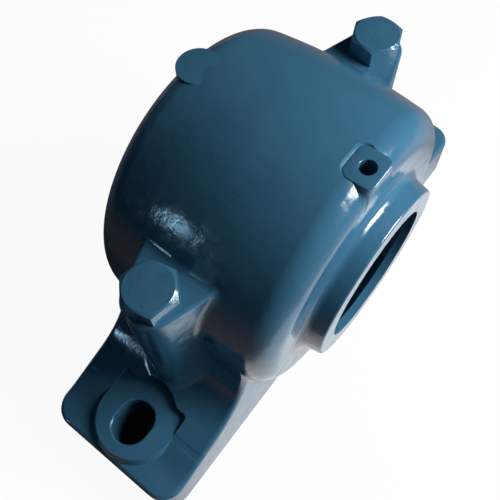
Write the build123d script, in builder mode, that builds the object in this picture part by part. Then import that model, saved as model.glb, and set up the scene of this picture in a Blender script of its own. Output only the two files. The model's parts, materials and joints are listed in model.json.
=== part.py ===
from build123d import *
from math import cos, radians, sin, sqrt, tan
import os

# A split plummer block housing for a rolling bearing: two castings, two cap bolts and two dowel pins.
# The shaft runs along Y with the front at -Y, the feet lie along X, and the base stands on z = 0.
# All sizes are in millimetres.

# Bearing seat, and the bores and grooves along the shaft
seat_radius = 90.0
seat_width = 70.3
seat_shoulder = 8.0
chamber_span = 118.0
chamber_round = 8.0
end_wall_depth = 35.75
seal_groove_depth = 9.0
seal_groove_mouth = 9.0
seal_groove_floor = 6.0
seal_groove_setback = 10.0

# Barrel round the bearing, and the collar at each end of it
barrel_wall = 13.5
barrel_crown = 5.0
end_wall = 8.0
shoulder_round = 18.0
collar_wall = 14.75
collar_draft = 3.0
collar_length = 14.0
collar_root_round = 6.0
collar_edge_round = 1.5

# Foot plate and the waisted block that carries the barrel
ground_clearance = 8.5
foot_width = 110.0
foot_corner_radius = 17.0
foot_draft = 1.5
foot_edge_round = 3.5
plate_height = 34.0
ramp_setback = 20.0
ramp_rise = 22.0
block_inset = 2.5
ramp_root_round = 50.0
ramp_toe_round = 40.0

# Slots for the foot bolts and the machined pads round them
slot_outset = 51.0
slot_setback = 30.0
slot_width = 26.0
slot_length = 32.0
slot_chamfer = 1.0
pad_rise = 6.0
pad_width = 57.0
pad_setback = 5.5
pad_inner_reach = 25.0
pad_corner_radius = 3.0
pad_draft = 25.0
pad_seam = 1.5

# Pockets cored into the underside on both sides of the seat
pocket_inner = 45.0
pocket_setback = 58.0
pocket_wall = 14.0
pocket_corner_radius = 12.0
pocket_draft = 3.0
pocket_roof_round = 6.0

# Columns of the base and lugs of the cap, round the cap bolts
bolt_outset = 5.5
lug_radius = 18.0
lug_flare = 18.0
lug_root_depth = 4.7
lug_height = 56.5
lug_edge_round = 2.0
lug_root_round = 6.0
column_root_round = 10.0
belly_root_round = 4.0

# Hexagon cap bolts
bolt_diameter = 20.0
bolt_hole_clearance = 1.0
bolt_tip_chamfer = 1.5
thread_engagement = 38.5
thread_clearance = 0.1
thread_runout = 6.5
head_across_flats = 30.0
head_height = 12.5
head_crown_radius = 14.0
head_cone_angle = 60.0
head_turns = {"left": 45.0, "right": 22.0}

# Dowel pins in the joint face
dowel_diameter = 8.0
dowel_length = 20.0
dowel_clearance = 0.02
dowel_chamfer = 0.6

# Bosses at the crown of the cap, each let down a little from it
front_boss_length = 22.0
front_boss_width = 19.0
front_boss_corner = 5.0
front_boss_drop = 6.0
front_boss_flare = 35.0
front_boss_draft = 10.0
grease_hole_diameter = 9.5
back_boss_radius = 13.0
back_boss_setback = 14.2
back_boss_drop = 2.5

# Radii and stations along the shaft that follow from the seat
chamber_radius = seat_radius - seat_shoulder
seal_bore_radius = chamber_radius - end_wall_depth
groove_radius = seal_bore_radius + seal_groove_depth
barrel_radius = seat_radius + barrel_wall
barrel_end_radius = barrel_radius - barrel_crown
barrel_end = chamber_span / 2 + end_wall
collar_face = barrel_end + collar_length
collar_face_radius = seal_bore_radius + collar_wall
collar_root_radius = collar_face_radius + collar_draft

# Heights above the ground
centre_height = barrel_radius + ground_clearance
pad_height = plate_height + pad_rise
ramp_top_height = plate_height + ramp_rise
lug_top_height = centre_height + lug_height
front_boss_height = centre_height + barrel_radius - front_boss_drop
back_boss_height = centre_height + barrel_radius - back_boss_drop

# Distances out from the shaft line along the feet
bolt_reach = barrel_radius + bolt_outset
lug_root_reach = sqrt(barrel_radius**2 - lug_height**2) - lug_root_depth
block_reach = barrel_radius - block_inset
slot_reach = bolt_reach + slot_outset
foot_end = slot_reach + slot_setback
ramp_start = foot_end - ramp_setback
pocket_outer = foot_end - pocket_setback

joint_plane = Plane(origin=(0, 0, centre_height), x_dir=(0, 1, 0), z_dir=(0, 0, 1))
shaft_axis = Axis((0, 0, centre_height), (0, 1, 0))
sides = {"left": -1, "right": 1}


def corners(sketch, station, radius):
    """Corners of a half section at this distance along the shaft and from it, at both ends."""
    near = sketch.vertices().filter_by_position(Axis.Y, radius - 0.1, radius + 0.1)
    return near.filter_by(lambda v: abs(abs(v.X) - station) < 0.1)


# Half section of the barrel with its collars, from the shaft line outwards
with BuildSketch(joint_plane) as barrel_section:
    with BuildLine():
        ThreePointArc((-barrel_end, barrel_end_radius), (0, barrel_radius), (barrel_end, barrel_end_radius))
        Polyline(
            (barrel_end, barrel_end_radius),
            (barrel_end, collar_root_radius),
            (collar_face, collar_face_radius),
            (collar_face, 0),
            (-collar_face, 0),
            (-collar_face, collar_face_radius),
            (-barrel_end, collar_root_radius),
            (-barrel_end, barrel_end_radius),
        )
    make_face()
    fillet(corners(barrel_section, barrel_end, barrel_end_radius), shoulder_round)
    fillet(corners(barrel_section, barrel_end, collar_root_radius), collar_root_round)
    fillet(corners(barrel_section, collar_face, collar_face_radius), collar_edge_round)

# Half section of all that is cored and bored out along the shaft
with BuildSketch(joint_plane) as bore_section:
    with Locations((0, chamber_radius / 2)):
        Rectangle(chamber_span, chamber_radius)
    fillet(corners(bore_section, chamber_span / 2, chamber_radius), chamber_round)
    with Locations((0, seat_radius / 2)):
        Rectangle(seat_width, seat_radius)
    with Locations((0, seal_bore_radius / 2)):
        Rectangle(2 * collar_face + 2, seal_bore_radius)
    for end in (-1, 1):
        groove_station = end * (collar_face - seal_groove_setback)
        with BuildLine():
            Polyline(
                (groove_station - seal_groove_mouth / 2, seal_bore_radius - 1),
                (groove_station - seal_groove_floor / 2, groove_radius),
                (groove_station + seal_groove_floor / 2, groove_radius),
                (groove_station + seal_groove_mouth / 2, seal_bore_radius - 1),
                close=True,
            )
        make_face()

# Plan of the columns and of the lugs on them: round noses that flare towards the barrel
with BuildSketch(Plane.XY.offset(centre_height)) as lug_plan:
    flare = radians(lug_flare)
    tangent_x = bolt_reach + lug_radius * sin(flare)
    tangent_y = lug_radius * cos(flare)
    root_y = tangent_y + (tangent_x - lug_root_reach) * tan(flare)
    for side in sides.values():
        with Locations((side * bolt_reach, 0)):
            Circle(lug_radius)
        with BuildLine():
            Polyline(
                (side * tangent_x, -tangent_y),
                (side * tangent_x, tangent_y),
                (side * lug_root_reach, root_y),
                (side * lug_root_reach, -root_y),
                close=True,
            )
        make_face()

# Front view of the foot plate and of the ramps that rise from it to the waist under the barrel
with BuildSketch(Plane.XZ) as block_profile:
    with BuildLine():
        Polyline(
            (-foot_end, 0),
            (-foot_end, plate_height),
            (-ramp_start, plate_height),
            (-block_reach, ramp_top_height),
            (-block_reach, centre_height),
            (block_reach, centre_height),
            (block_reach, ramp_top_height),
            (ramp_start, plate_height),
            (foot_end, plate_height),
            (foot_end, 0),
            close=True,
        )
    make_face()
    fillet(corners(block_profile, ramp_start, plate_height), ramp_toe_round)
    fillet(corners(block_profile, block_reach, ramp_top_height), ramp_root_round)

# Machined pads round the foot slots, each with its round nose outwards
with BuildSketch(Plane.XY.offset(pad_height)) as pad_plan:
    pad_radius = pad_width / 2
    nose_centre = foot_end - pad_setback - pad_radius
    pad_inner_edge = slot_reach - pad_inner_reach
    for side in sides.values():
        with Locations((side * nose_centre, 0)):
            Circle(pad_radius)
        with Locations((side * (nose_centre + pad_inner_edge) / 2, 0)):
            Rectangle(nose_centre - pad_inner_edge, pad_width)
    fillet(pad_plan.vertices().filter_by(lambda v: abs(v.X) < pad_inner_edge + 1), pad_corner_radius)

# Outlines of the two bosses at the crown of the cap: the front one ends flush with the barrel
with BuildSketch(Plane.XY.offset(front_boss_height)) as front_boss_plan:
    front_boss_station = front_boss_width / 2 - barrel_end
    with Locations((0, front_boss_station)):
        RectangleRounded(front_boss_length, front_boss_width, front_boss_corner)
with BuildPart() as front_boss:
    boss_foot = centre_height + collar_face_radius
    extrude(front_boss_plan.sketch, amount=boss_foot - front_boss_height, taper=-front_boss_draft)
    split(bisect_by=Plane(origin=(0, -barrel_end, 0), z_dir=(0, 1, 0)))
with BuildSketch(Plane.XY.offset(back_boss_height)) as back_boss_plan:
    with Locations((0, barrel_end - back_boss_setback)):
        Circle(back_boss_radius)

# Places of the two dowel pins, on opposite corners of the joint face, amid its wall and beside the seat
dowel_reach = (chamber_radius + barrel_radius) / 2
dowel_station = (seat_width + chamber_span) / 4
dowel_places = [(side * dowel_reach, -side * dowel_station) for side in sides.values()]

# Cores of the two pockets in the underside: they follow the barrel and the ramp a wall below them
with BuildPart() as pocket_cores:
    with BuildSketch(Plane.XZ) as pocket_profile:
        pocket_height = ramp_top_height - pocket_wall
        ramp_fall = ramp_rise * (pocket_outer - block_reach) / (ramp_start - block_reach)
        for side in sides.values():
            with BuildLine():
                Polyline(
                    (side * pocket_inner, -pocket_height),
                    (side * pocket_inner, pocket_height),
                    (side * block_reach, pocket_height),
                    (side * pocket_outer, pocket_height - ramp_fall),
                    (side * pocket_outer, -pocket_height),
                    close=True,
                )
            make_face()
        with Locations((0, centre_height)):
            Circle(barrel_radius, mode=Mode.SUBTRACT)
        offset(amount=-pocket_roof_round, kind=Kind.INTERSECTION, mode=Mode.REPLACE)
        offset(amount=pocket_roof_round, mode=Mode.REPLACE)
    extrude(amount=foot_width, both=True)
    with BuildSketch(Plane.XY):
        pocket_length = pocket_outer - pocket_inner
        with GridLocations(pocket_outer + pocket_inner, 0, 2, 1):
            RectangleRounded(pocket_length, foot_width - 2 * pocket_wall, pocket_corner_radius)
    extrude(amount=centre_height, taper=pocket_draft, mode=Mode.INTERSECT)


with BuildPart() as base:
    # Waisted block with its two feet, drafted from the underside up
    with BuildSketch(Plane.XY):
        RectangleRounded(2 * foot_end, foot_width, foot_corner_radius)
    extrude(amount=centre_height, taper=foot_draft)
    extrude(block_profile.sketch, amount=foot_width, both=True, mode=Mode.INTERSECT)
    top_edges = base.edges().filter_by(lambda e: e.bounding_box().min.Z > plate_height - 1)
    rim = top_edges.filter_by(lambda e: e.center().Z < centre_height - 0.1)
    rim = rim.filter_by(lambda e: abs(e.center().Y) > foot_width / 4 or abs(e.center().X) > foot_end - foot_edge_round)
    fillet(rim, foot_edge_round)

    # Columns under the cap bolts
    extrude(lug_plan.sketch, amount=-centre_height)
    column_roots = base.edges().filter_by(lambda e: plate_height + 1 < e.center().Z < centre_height - 1)
    column_roots = column_roots.filter_by(lambda e: abs(e.center().Y) < root_y)
    column_roots = column_roots.filter_by(lambda e: abs(abs(e.center().X) - tangent_x) > 0.1)
    fillet(column_roots, column_root_round)

    # Lower half of the barrel, whose belly stands out of the block in front and behind
    revolve(barrel_section.sketch, axis=shaft_axis, revolution_arc=-180)
    belly_seams = base.edges().filter_by(GeomType.BSPLINE).sort_by(SortBy.LENGTH)[-2:]
    fillet(belly_seams, belly_root_round)

    # Pads and slots for the foot bolts
    extrude(pad_plan.sketch, amount=plate_height - pad_height - pad_seam, taper=-pad_draft)
    extrude(pad_plan.sketch, amount=centre_height, mode=Mode.SUBTRACT)
    with BuildSketch(Plane.XY.offset(pad_height)):
        with GridLocations(2 * slot_reach, 0, 2, 1):
            SlotOverall(slot_length, slot_width)
    extrude(amount=-pad_height, mode=Mode.SUBTRACT)
    slot_rims = base.edges().filter_by_position(Axis.Z, pad_height - 0.1, pad_height + 0.1)
    slot_rims = slot_rims.filter_by(lambda e: abs(abs(e.center().X) - slot_reach) < slot_length / 2)
    slot_rims = slot_rims.filter_by(lambda e: abs(e.center().Y) < slot_width / 2 + 0.1)
    chamfer(slot_rims, slot_chamfer)

    # Bores, threads for the cap bolts, dowel holes and the pockets underneath
    revolve(bore_section.sketch, axis=shaft_axis, revolution_arc=-180, mode=Mode.SUBTRACT)
    with BuildSketch(Plane.XY.offset(centre_height)):
        with GridLocations(2 * bolt_reach, 0, 2, 1):
            Circle(bolt_diameter / 2 + thread_clearance)
    extrude(amount=-thread_engagement - thread_runout, mode=Mode.SUBTRACT)
    with BuildSketch(Plane.XY.offset(centre_height)):
        with Locations(*dowel_places):
            Circle((dowel_diameter + dowel_clearance) / 2)
    extrude(amount=-dowel_length / 2, mode=Mode.SUBTRACT)
    add(pocket_cores.part, mode=Mode.SUBTRACT)
base.part.label = "base"

with BuildPart() as cap:
    # Lugs under the bolt heads, rounded along their rims, and the upper half of the barrel
    extrude(lug_plan.sketch, amount=lug_top_height - centre_height)
    fillet(cap.edges().group_by(Axis.Z)[-1], lug_edge_round)
    revolve(barrel_section.sketch, axis=shaft_axis, revolution_arc=180)
    lug_roots = cap.edges().filter_by(lambda e: abs(e.center().X) > lug_root_reach and abs(e.center().Y) < root_y)
    lug_roots = lug_roots.filter_by(lambda e: e.center().Z > centre_height + 1 and e.geom_type == GeomType.BSPLINE)
    fillet(lug_roots, lug_root_round)

    # Bosses at the crown: the front one is spot-faced into it and tapped for a grease nipple
    add(front_boss.part)
    extrude(front_boss_plan.sketch, amount=barrel_radius, taper=-front_boss_flare, mode=Mode.SUBTRACT)
    extrude(back_boss_plan.sketch, amount=centre_height + collar_face_radius - back_boss_height)

    # Bores, the grease hole, clearance holes for the cap bolts and dowel holes
    revolve(bore_section.sketch, axis=shaft_axis, revolution_arc=180, mode=Mode.SUBTRACT)
    grease_hole_depth = front_boss_height - centre_height - chamber_radius + chamber_round
    with BuildSketch(Plane.XY.offset(front_boss_height)):
        with Locations((0, front_boss_station)):
            Circle(grease_hole_diameter / 2)
    extrude(amount=-grease_hole_depth, mode=Mode.SUBTRACT)
    with BuildSketch(Plane.XY.offset(lug_top_height)):
        with GridLocations(2 * bolt_reach, 0, 2, 1):
            Circle(bolt_diameter / 2 + bolt_hole_clearance)
    extrude(amount=centre_height - lug_top_height, mode=Mode.SUBTRACT)
    with BuildSketch(Plane.XY.offset(centre_height)):
        with Locations(*dowel_places):
            Circle((dowel_diameter + dowel_clearance) / 2)
    extrude(amount=dowel_length / 2, mode=Mode.SUBTRACT)
cap.part.label = "cap"

os.makedirs("parts", exist_ok=True)
export_step(base.part, "parts/base.step")
export_step(cap.part, "parts/cap.step")

for name, side in sides.items():
    # Hexagon bolt: the head's corners are turned off under a low cone
    with BuildPart() as cap_bolt:
        head_plane = Plane.XY.offset(lug_top_height + head_height)
        with BuildSketch(head_plane):
            with Locations((side * bolt_reach, 0)):
                RegularPolygon(head_across_flats / 2, 6, major_radius=False, rotation=head_turns[name])
        extrude(amount=-head_height)
        with BuildSketch(head_plane):
            with Locations((side * bolt_reach, 0)):
                Circle(head_crown_radius)
        extrude(amount=-head_height, taper=-head_cone_angle, mode=Mode.INTERSECT)
        with BuildSketch(Plane.XY.offset(lug_top_height)):
            with Locations((side * bolt_reach, 0)):
                Circle(bolt_diameter / 2)
        extrude(amount=-lug_height - thread_engagement)
        chamfer(cap_bolt.edges().group_by(Axis.Z)[0], bolt_tip_chamfer)
    cap_bolt.part.label = f"cap_bolt_{name}"
    export_step(cap_bolt.part, f"parts/cap_bolt_{name}.step")

for name, place in zip(sides, dowel_places):
    # Dowel pin, half in the base and half in the cap
    with BuildPart() as dowel_pin:
        with BuildSketch(Plane.XY.offset(centre_height)):
            with Locations(place):
                Circle(dowel_diameter / 2)
        extrude(amount=dowel_length / 2, both=True)
        chamfer(dowel_pin.edges().filter_by(GeomType.CIRCLE), dowel_chamfer)
    dowel_pin.part.label = f"dowel_pin_{name}"
    export_step(dowel_pin.part, f"parts/dowel_pin_{name}.step")
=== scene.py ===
import json
from math import cos, hypot, pi, radians, sin, sqrt, tan

import bmesh
import bpy
from mathutils import Matrix, Vector


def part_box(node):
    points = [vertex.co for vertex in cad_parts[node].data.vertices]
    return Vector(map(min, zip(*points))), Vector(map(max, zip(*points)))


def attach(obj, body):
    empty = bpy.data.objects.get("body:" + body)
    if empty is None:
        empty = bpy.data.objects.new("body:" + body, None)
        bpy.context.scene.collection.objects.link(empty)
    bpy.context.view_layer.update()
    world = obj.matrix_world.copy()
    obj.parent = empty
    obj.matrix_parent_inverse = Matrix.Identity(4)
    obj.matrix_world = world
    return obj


# A split plummer block housing in glossy blue-grey enamel, seen steeply from its front left.
# All lengths are in metres. The castings, bolts and pins are the frame's own. This file gives them
# their finishes, and adds the face round the grease hole, the floor, the room, lamps and camera.

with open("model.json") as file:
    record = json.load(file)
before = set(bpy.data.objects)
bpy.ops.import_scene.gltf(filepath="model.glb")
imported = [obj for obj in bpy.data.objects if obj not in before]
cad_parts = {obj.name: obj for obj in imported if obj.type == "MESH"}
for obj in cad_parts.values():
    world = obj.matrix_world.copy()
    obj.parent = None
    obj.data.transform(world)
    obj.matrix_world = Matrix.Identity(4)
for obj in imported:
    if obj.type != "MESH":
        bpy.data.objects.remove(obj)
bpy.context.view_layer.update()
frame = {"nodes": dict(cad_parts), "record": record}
nodes = frame["nodes"]
mounts = {mount["name"]: mount["pos_m"] for mount in frame["record"]["mounts"]}

# Sizes of the castings and bolts that the finishes and the new face follow
centre_height = mounts["shaft_bore"][2]
chamber_radius = 0.082
seat_radius = 0.090
seat_half_width = 0.03515
barrel_radius = 0.1035
barrel_half_span = 0.067
barrel_crown = 0.005
shoulder_round = 0.018
shoulder_centre = 0.08272
bolt_reach = 0.109
bolt_head_height = 0.0125
lug_radius = 0.018
lug_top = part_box("cap_bolt_left")[1].z - bolt_head_height
pad_height = 0.040
pad_inner_reach = 0.130
base_half_length = 0.184
base_half_width = 0.050

# The face round the grease hole: its outline on the plan, its heights, edges and root
hole_y = mounts["grease_hole"][1]
hole_radius = 0.0048
hole_edge = 0.0003
face_middle_y = -0.05707
face_front_y = -0.06705
face_half_x = 0.0119
face_half_y = 0.00998
face_corner = 0.0055
face_top = 0.2113
face_edge = 0.0009
face_draft = tan(radians(10))
face_buried = 0.2085
face_inset = 0.002
largest_root = 0.0050
smallest_root = 0.0003
root_share = 0.7
root_sunk = 0.0001


class Signal:
    """A value or colour on its way through a finish, so that its maths is written as plain sums."""

    def __init__(self, finish, socket):
        self.finish = finish
        self.socket = socket

    def sum(self, operation, *values):
        settings = {"operation": operation}
        return self.finish.node("ShaderNodeMath", settings, dict(enumerate(values)))

    def __add__(self, other):
        return self.sum("ADD", self, other)

    def __sub__(self, other):
        return self.sum("SUBTRACT", self, other)

    def __rsub__(self, other):
        return self.sum("SUBTRACT", other, self)

    def __mul__(self, other):
        return self.sum("MULTIPLY", self, other)

    def __abs__(self):
        return self.sum("ABSOLUTE", self)

    __radd__ = __add__
    __rmul__ = __mul__

    def root(self):
        return self.sum("SQRT", self)

    def grooves(self, lines):
        """A wave from 0 to 1 along this length, with so many radians of a sine to the metre."""
        return self.sum("SINE", self * lines) * 0.5 + 0.5

    def either(self, other):
        return self.sum("MAXIMUM", self, other)

    def ramp(self, low, high):
        """0 at low, 1 at high, and smooth between them."""
        settings = {"interpolation_type": "SMOOTHSTEP"}
        return self.finish.node("ShaderNodeMapRange", settings, {0: self, 1: low, 2: high})

    def within(self, middle, reach, edge):
        """1 within reach of the middle, and 0 past the soft edge round it."""
        return 1 - abs(self - middle).ramp(reach, reach + edge)


class Nodes:
    """The nodes of a finish or of the room."""

    def __init__(self, tree):
        self.tree = tree

    def node(self, kind, settings, inputs, output=0):
        """A new node with its settings and sockets, as the signal of one of its outputs."""
        made = self.tree.nodes.new(kind)
        for name, value in settings.items():
            setattr(made, name, value)
        for name, value in inputs.items():
            self.join(value, made.inputs[name])
        return Signal(self, made.outputs[output])

    def join(self, value, socket):
        if isinstance(value, Signal):
            self.tree.links.new(value.socket, socket)
        else:
            socket.default_value = value

    def mix(self, share, plain, other):
        """A colour between two, by a share from 0 to 1."""
        settings = {"data_type": "RGBA", "clamp_factor": True}
        return self.node("ShaderNodeMix", settings, {0: share, 6: plain, 7: other}, 2)

    def ray(self, kind):
        """1 for rays of this kind, and 0 for all others."""
        return self.node("ShaderNodeLightPath", {}, {}, f"Is {kind} Ray")


class Finish(Nodes):
    """A material on the standard shader, measured in metres on the object."""

    def __init__(self, name):
        self.material = bpy.data.materials.new(name)
        self.material.use_nodes = True
        super().__init__(self.material.node_tree)
        self.shader = self.tree.nodes["Principled BSDF"]
        self.place = self.node("ShaderNodeTexCoord", {}, {}, "Object")

    def set(self, **values):
        """Values or signals on the shader's own sockets, named in plain letters."""
        for name, value in values.items():
            title = name.replace("_", " ").title().replace("Ior", "IOR")
            self.join(value, self.shader.inputs[title])

    def axis(self, letter):
        return self.node("ShaderNodeSeparateXYZ", {}, {0: self.place}, letter)

    def noise(self, size, detail=2.0, roughness=0.5, stretch=(1, 1, 1)):
        """Cloudy noise from 0 to 1 whose lumps are about this size."""
        settings = {"operation": "MULTIPLY"}
        where = self.node("ShaderNodeVectorMath", settings, {0: self.place, 1: stretch})
        values = {"Vector": where, "Scale": 1 / size, "Detail": detail, "Roughness": roughness}
        return self.node("ShaderNodeTexNoise", {"noise_dimensions": "3D"}, values)

    def bump(self, height, depth, under=None):
        """Relief of this depth where the height goes from 0 to 1, laid over any relief under it."""
        values = {"Height": height, "Distance": depth, "Strength": 1.0}
        if under is not None:
            values["Normal"] = under
        return self.node("ShaderNodeBump", {}, values)


def paint_colour(red, green, blue):
    """A colour as it is seen, from 0 to 255, in the shader's own linear values."""
    seen = [value / 255 for value in (red, green, blue)]
    return [*[v / 12.92 if v <= 0.04045 else ((v + 0.055) / 1.055) ** 2.4 for v in seen], 1.0]


enamel_blue = paint_colour(59, 107, 134)
enamel_deep = paint_colour(53, 98, 125)
iron_grey = paint_colour(134, 133, 130)
iron_dark = paint_colour(92, 88, 84)
steel_black = paint_colour(58, 58, 60)
steel_grey = paint_colour(150, 152, 156)
steel_bright = paint_colour(196, 198, 202)
floor_white = paint_colour(250, 250, 250)
# Floor colours for painted light: a brown that the enamel mirrors as a painted reflection, and a
# dark shade painted under the housing and seen by bounced light.
painted_reflection_brown = paint_colour(150, 122, 104)
floor_shade = paint_colour(60, 52, 47)
enamel_index = 1.7


def enamel_patches(finish, size):
    """The enamel's colour, a little deeper in patches of about this size."""
    return finish.mix(finish.noise(size).ramp(0.30, 0.72), enamel_deep, enamel_blue)


def casting_enamel(name):
    """Glossy enamel over a sand casting, with its seat, joint and sole left as bare iron."""
    blend = 0.0004
    skin = 0.00002
    slack = 0.0001
    lathe_lines = 9000.0
    finish = Finish(name)
    x, y, z = finish.axis("X"), finish.axis("Y"), finish.axis("Z")
    above = z - centre_height
    off_shaft = (x * x + above * above).root()
    off_bolt = ((abs(x) - bolt_reach) * (abs(x) - bolt_reach) + y * y).root()

    seat = abs(y).within(0.0, seat_half_width + blend / 2, blend / 2)
    seat = seat * off_shaft.ramp(chamber_radius - slack, chamber_radius - slack + blend)
    seat = seat * (1 - off_shaft.ramp(seat_radius + blend, seat_radius + 2 * blend))
    barrel = barrel_radius - (y * y) * (barrel_crown / barrel_half_span ** 2)
    covered = (barrel - abs(x)).ramp(0.0, blend)
    covered = covered.either(1 - off_bolt.ramp(lug_radius - blend, lug_radius))
    joint = above.within(0.0, skin, skin) * covered
    sole = 1 - z.ramp(skin, 4 * skin)
    bare = seat.either(joint).either(sole)
    pad = z.within(pad_height, blend, 1.5 * blend)
    pad = pad * abs(x).ramp(pad_inner_reach, pad_inner_reach + 0.004)
    rough = 1 - pad.either(bare) * 0.8

    scratches = finish.noise(0.0015, 3.0, 0.6, (1.0, 0.08, 1.0))
    metal = finish.mix(scratches.ramp(0.35, 0.70), iron_dark, iron_grey)
    waves = finish.noise(0.030, 1.0)
    peel = finish.noise(0.0065, 2.0, 0.45)
    sand = finish.noise(0.0013, 2.0, 0.5)
    relief = finish.bump(waves * rough, 0.00030)
    relief = finish.bump(peel * rough, 0.00020, relief)
    relief = finish.bump(sand * rough, 0.000028, relief)
    relief = finish.bump(y.grooves(lathe_lines) * seat, 0.00001, relief)
    finish.set(
        base_color=finish.mix(bare, enamel_patches(finish, 0.055), metal),
        roughness=0.13 + peel.ramp(0.35, 0.75) * 0.10 + bare * 0.22,
        metallic=bare * 0.85,
        normal=relief,
        ior=enamel_index,
    )
    return finish.material


def bolt_enamel(name):
    """The same enamel over a forged bolt head, and oiled black steel with a thread below it."""
    thread_lines = 2513.0
    finish = Finish(name)
    z = finish.axis("Z")
    shank = 1 - z.ramp(lug_top - 0.0002, lug_top)
    waves = finish.noise(0.008)
    drops = finish.noise(0.0028).ramp(0.60, 0.74)
    relief = finish.bump(waves * (1 - shank), 0.00022)
    relief = finish.bump(drops * (1 - shank), 0.00012, relief)
    relief = finish.bump(z.grooves(thread_lines) * shank, 0.0006, relief)
    finish.set(
        base_color=finish.mix(shank, enamel_patches(finish, 0.02), steel_black),
        roughness=0.14 + shank * 0.2,
        metallic=shank * 0.9,
        normal=relief,
        ior=enamel_index,
    )
    return finish.material


def ground_steel(name):
    """Ground and lightly oiled steel of the dowel pins."""
    finish = Finish(name)
    grain = finish.noise(0.0008, 3.0, 0.6, (1.0, 1.0, 0.1))
    finish.set(
        base_color=finish.mix(grain.ramp(0.3, 0.7), steel_grey, steel_bright),
        roughness=0.22 + grain * 0.12,
        metallic=1.0,
        normal=finish.bump(grain, 0.000004),
    )
    return finish.material


def dress(node, material):
    """Gives one of the frame's solids its finish."""
    mesh = nodes[node].data
    if not mesh.materials:
        mesh.materials.append(material)
    for place in range(len(mesh.materials)):
        mesh.materials[place] = material


def barrel_top(x, y):
    """Height of the outside of the cap's barrel and shoulder over a point of the plan."""
    past = min(max(0.0, abs(y) - barrel_half_span + shoulder_round), shoulder_round)
    shoulder = shoulder_centre + sqrt(shoulder_round ** 2 - past ** 2)
    radius = min(barrel_radius - barrel_crown * (y / barrel_half_span) ** 2, shoulder)
    return centre_height + sqrt(radius ** 2 - x ** 2)


def face_place(angle, gap):
    """The point of the plan that way from the grease hole, this far outside the face's outline."""
    near, far, halvings = 0.0, 0.05, 30
    for _ in range(halvings):
        reach = (near + far) / 2
        over_x = abs(reach * cos(angle)) - face_half_x + face_corner
        over_y = abs(reach * sin(angle) + hole_y - face_middle_y) - face_half_y + face_corner
        outside = hypot(max(over_x, 0), max(over_y, 0)) + min(max(over_x, over_y), 0) - face_corner
        if outside < gap:
            near = reach
        else:
            far = reach
    return near * cos(angle), max(near * sin(angle) + hole_y, face_front_y)


def face_profile(angle):
    """The section from the hole over the face and its edge to the root on the barrel, and back."""
    edge_steps, root_steps, tries = 4, 6, 12
    section = []
    for radius, height in (
        (hole_radius, face_buried),
        (hole_radius, face_top - hole_edge),
        (hole_radius + hole_edge, face_top),
    ):
        section.append((radius * cos(angle), radius * sin(angle) + hole_y, height))
    for step in range(edge_steps + 1):
        turn = pi / 2 * step / edge_steps
        height = face_top - face_edge * (1 - cos(turn))
        section.append((*face_place(angle, face_edge * (sin(turn) - 1)), height))
    side_top = face_top - face_edge
    depth = 0.0
    for _ in range(tries):
        depth = max(0.0, side_top - barrel_top(*face_place(angle, face_draft * depth)))
    root = min(largest_root, root_share * depth)
    start = face_draft * (depth - root)
    rise = side_top - (depth - root) - barrel_top(*face_place(angle, start))
    for step in range(root_steps + 1):
        turn = pi / 2 * step / root_steps
        x, y = face_place(angle, start + (1 + face_draft) * root * (1 - cos(turn)))
        height = barrel_top(x, y) + rise * (1 - sin(turn)) - root_sunk
        section.append((x, y, height if root > smallest_root else face_buried))
    section.append((*face_place(angle, -face_inset), min(section[-1][2], face_buried)))
    return section


def grease_boss_face(material):
    """The raised face round the grease hole, with its painted-over edges and its soft root.

    It is built from its sections, one for each turn round the hole, because the depth of the root
    follows the shoulder. Both ends of a section are inside the casting, where they meet.
    """
    turns = 144
    work = bmesh.new()
    rings = []
    for turn in range(turns):
        rings.append([work.verts.new(point) for point in face_profile(2 * pi * turn / turns)])
    for turn, ring in enumerate(rings):
        after = rings[(turn + 1) % turns]
        for low in range(len(ring)):
            high = (low + 1) % len(ring)
            work.faces.new((ring[low], ring[high], after[high], after[low]))
    bmesh.ops.remove_doubles(work, verts=work.verts, dist=1e-6)
    bmesh.ops.recalc_face_normals(work, faces=work.faces)
    mesh = bpy.data.meshes.new("grease_boss_face")
    work.to_mesh(mesh)
    work.free()
    face = bpy.data.objects.new("grease_boss_face", mesh)
    bpy.context.scene.collection.objects.link(face)
    bpy.ops.object.select_all(action="DESELECT")
    face.select_set(True)
    bpy.context.view_layer.objects.active = face
    bpy.ops.object.shade_smooth_by_angle(angle=radians(40))
    face.data.materials.append(material)
    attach(face, "root")


def floor():
    """A sheet that looks white, keeps the housing's soft shadow and is painted dark underneath it
    as shade.

    The enamel mirrors its white only in front of the housing, and round that a painted brown
    reflection, while the camera sees white there too.
    """
    bpy.ops.object.select_all(action="DESELECT")
    bpy.ops.mesh.primitive_plane_add(size=12.0, location=(0, 0, -0.0002))
    sheet = bpy.context.object
    sheet.name = "studio_floor"
    finish = Finish("studio_floor_paint")
    x, y = finish.axis("X"), finish.axis("Y")
    # Painted shade: under the housing the floor loses its glow and takes the dark floor_shade
    # colour.
    underneath = abs(x).within(0.0, base_half_length, 0.004)
    underneath = underneath * abs(y).within(0.0, base_half_width, 0.004)
    clear = 1 - underneath
    in_front = x.ramp(-0.24, -0.12) * (1 - x.ramp(0.11, 0.21)) * y.within(-0.13, 0.10, 0.12)
    seen = finish.ray("Camera")
    mirrored = finish.ray("Glossy") + finish.ray("Transmission")
    glowing = (seen * 0.95 + mirrored * in_front) * clear
    white = (seen + mirrored * in_front) * clear
    # Painted reflection and shade: away from the front the enamel mirrors a painted brown, and
    # under the housing and for bounced light the floor is painted dark.
    painted_reflection = finish.mix(mirrored * clear, floor_shade, painted_reflection_brown)
    finish.set(base_color=finish.mix(white, painted_reflection, floor_white), roughness=0.9)
    glow = finish.node("ShaderNodeEmission", {}, {"Color": (1, 1, 1, 1), "Strength": 1.0})
    paint = Signal(finish, finish.shader.outputs[0])
    both = finish.node("ShaderNodeMixShader", {}, {0: glowing, 1: paint, 2: glow})
    finish.join(both, finish.tree.nodes["Material Output"].inputs[0])
    sheet.data.materials.append(finish.material)


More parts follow.
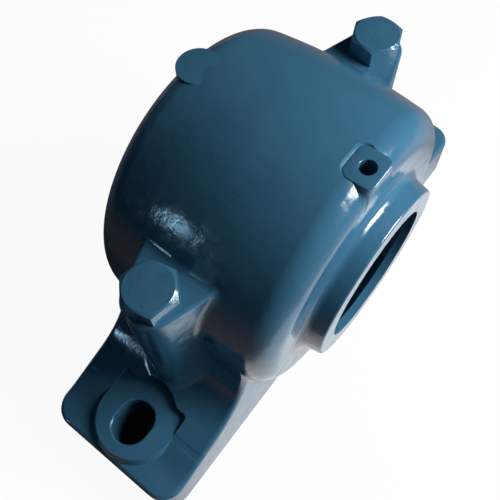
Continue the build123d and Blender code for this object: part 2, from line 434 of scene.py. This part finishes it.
def room():
    """Soft light from all round, so dim that the enamel keeps its depth. The camera sees white."""
    world = bpy.data.worlds.new("room")
    bpy.context.scene.world = world
    world.use_nodes = True
    sky = Nodes(world.node_tree)
    light = sky.tree.nodes["Background"]
    seen = sky.ray("Camera")
    dimness = 0.014
    sky.join(sky.mix(seen, (0.65, 0.82, 1.0, 1.0), (1.0, 1.0, 1.0, 1.0)), light.inputs["Color"])
    sky.join(seen * (1 - dimness) + dimness, light.inputs["Strength"])


def lamp(name, towards, distance, width, height, power, colour=(1, 1, 1), mirrored=True):
    """A soft box that stands this way from the housing and faces it, and may show in the enamel."""
    aim = Vector((0, 0, 0.1))
    light = bpy.data.lights.new(name, "AREA")
    light.shape = "RECTANGLE"
    light.size = width
    light.size_y = height
    light.energy = power
    light.color = colour
    stand = bpy.data.objects.new(name, light)
    bpy.context.scene.collection.objects.link(stand)
    way = Vector(towards).normalized()
    stand.location = aim + way * distance
    stand.rotation_euler = way.to_track_quat("Z", "Y").to_euler()
    stand.visible_camera = False
    stand.visible_glossy = mirrored


def camera():
    """The camera of the picture: its place, its turn and its frame, found from the outline."""
    place = Vector((-0.171864, -0.121476, 0.472319))
    azimuth = radians(-48.4985)
    elevation = radians(63.3166)
    roll = radians(-4.0608)
    picture = 500
    focal_pixels = 619.101
    centre_pixel = (241.646, 247.596)
    level = cos(elevation)
    back = Vector((sin(azimuth) * level, -cos(azimuth) * level, sin(elevation)))
    level_right = Vector((0, 0, 1)).cross(back).normalized()
    level_up = back.cross(level_right)
    right = cos(roll) * level_right + sin(roll) * level_up
    up = -sin(roll) * level_right + cos(roll) * level_up
    data = bpy.data.cameras.new("camera")
    data.sensor_width = 36.0
    data.lens = data.sensor_width * focal_pixels / picture
    data.shift_x = (picture / 2 - centre_pixel[0]) / picture
    data.shift_y = (centre_pixel[1] - picture / 2) / picture
    data.clip_start = 0.01
    data.clip_end = 50.0
    view = bpy.data.objects.new("camera", data)
    bpy.context.scene.collection.objects.link(view)
    turn = Matrix((right, up, back)).transposed().to_4x4()
    view.matrix_world = Matrix.Translation(place) @ turn
    bpy.context.scene.camera = view


cap_enamel = casting_enamel("cap_enamel")
dress("base", casting_enamel("base_enamel"))
dress("cap", cap_enamel)
for side in ("left", "right"):
    dress(f"cap_bolt_{side}", bolt_enamel(f"bolt_enamel_{side}"))
    dress(f"dowel_pin_{side}", ground_steel(f"dowel_steel_{side}"))
grease_boss_face(cap_enamel)

camera()
floor()
room()
lamp(
    "window", towards=(-0.86, 0.40, 0.30), distance=1.6,
    width=0.13, height=0.22, power=1.0, colour=(0.38, 0.72, 1.0),
)
lamp(
    "key", towards=(0.40, -0.71, 0.60), distance=0.66,
    width=0.32, height=0.34, power=6.0,
)
lamp(
    "low_fill", towards=(0.12, -0.97, 0.22), distance=1.3,
    width=1.2, height=0.5, power=5.4, colour=(0.72, 0.85, 1.0), mirrored=False,
)
lamp(
    "back_fill", towards=(0.45, 0.89, 0.03), distance=1.6,
    width=1.2, height=0.2, power=12.0, mirrored=False,
)
bpy.context.scene.view_settings.view_transform = "Standard"
